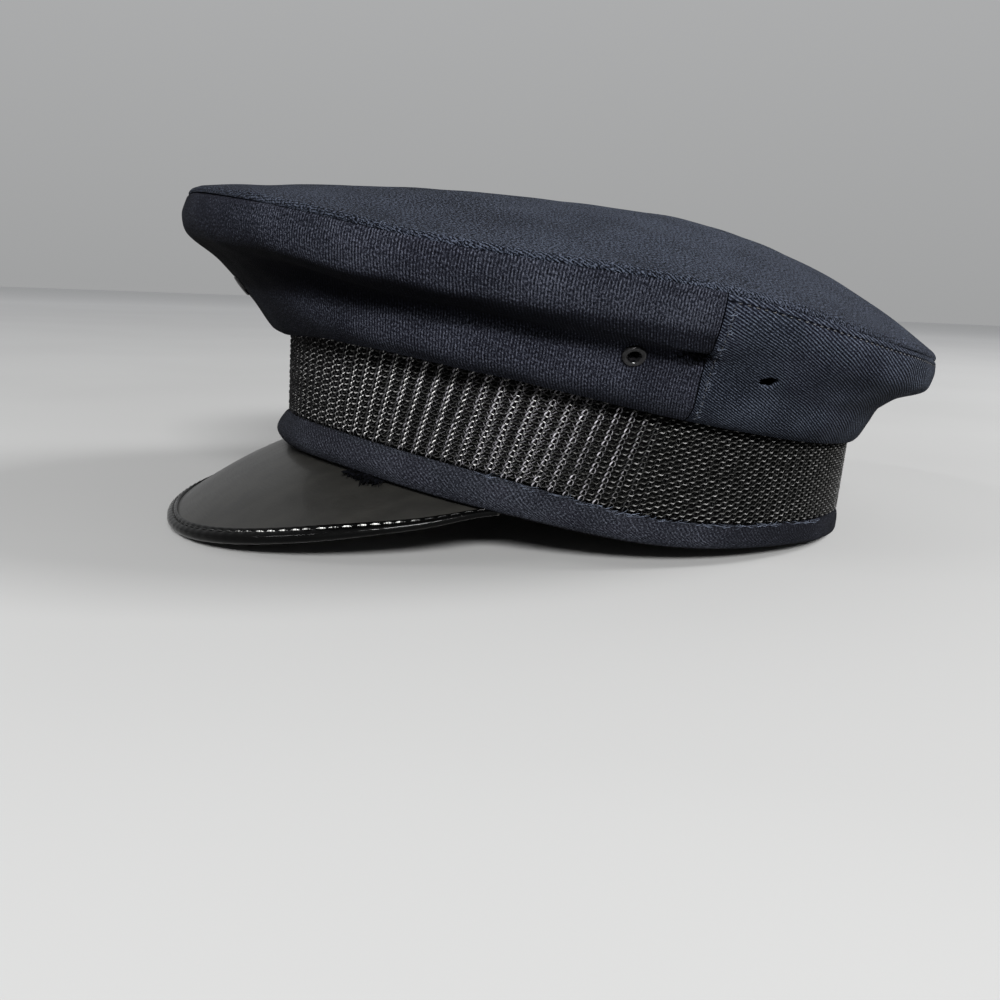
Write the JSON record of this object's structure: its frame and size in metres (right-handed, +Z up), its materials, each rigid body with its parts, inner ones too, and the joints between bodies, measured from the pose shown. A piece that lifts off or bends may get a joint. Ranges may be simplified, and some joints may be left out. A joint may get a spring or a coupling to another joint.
{
  "type": "police cap",
  "caption": "Round peaked uniform cap: domed cloth crown with a raised front, stiff braided band and glossy bound visor, open underneath for the head.",
  "frame": {"origin": "middle of the bottom face of the box round the cap, on the surface that it rests on", "axes": "+X to the wearer's left, +Y to the back of the head, +Z up; the visor points along -Y"},
  "size_m": [0.248, 0.2712, 0.1133],
  "materials": {
    "cap_cloth": "matte dark navy wool twill",
    "band_cloth": "matte black backed cloth",
    "braid": "semi-gloss black woven braid",
    "patent": "high gloss black patent",
    "patent_binding": "high gloss black, stitched",
    "eyelet_metal": "gloss black enamel, worn"
  },
  "bodies": {
    "root": {"crown_top": "cap_cloth", "crown_front_panel": "cap_cloth", "crown_rear_panel": "cap_cloth", "headband": "band_cloth", "braid_band": "braid", "band_welt": "cap_cloth", "visor": "patent", "visor_binding": "patent_binding", "badge_eyelet": "eyelet_metal", "left_vent_eyelet": "eyelet_metal", "right_vent_eyelet": "eyelet_metal"}
  },
  "joints": []
}
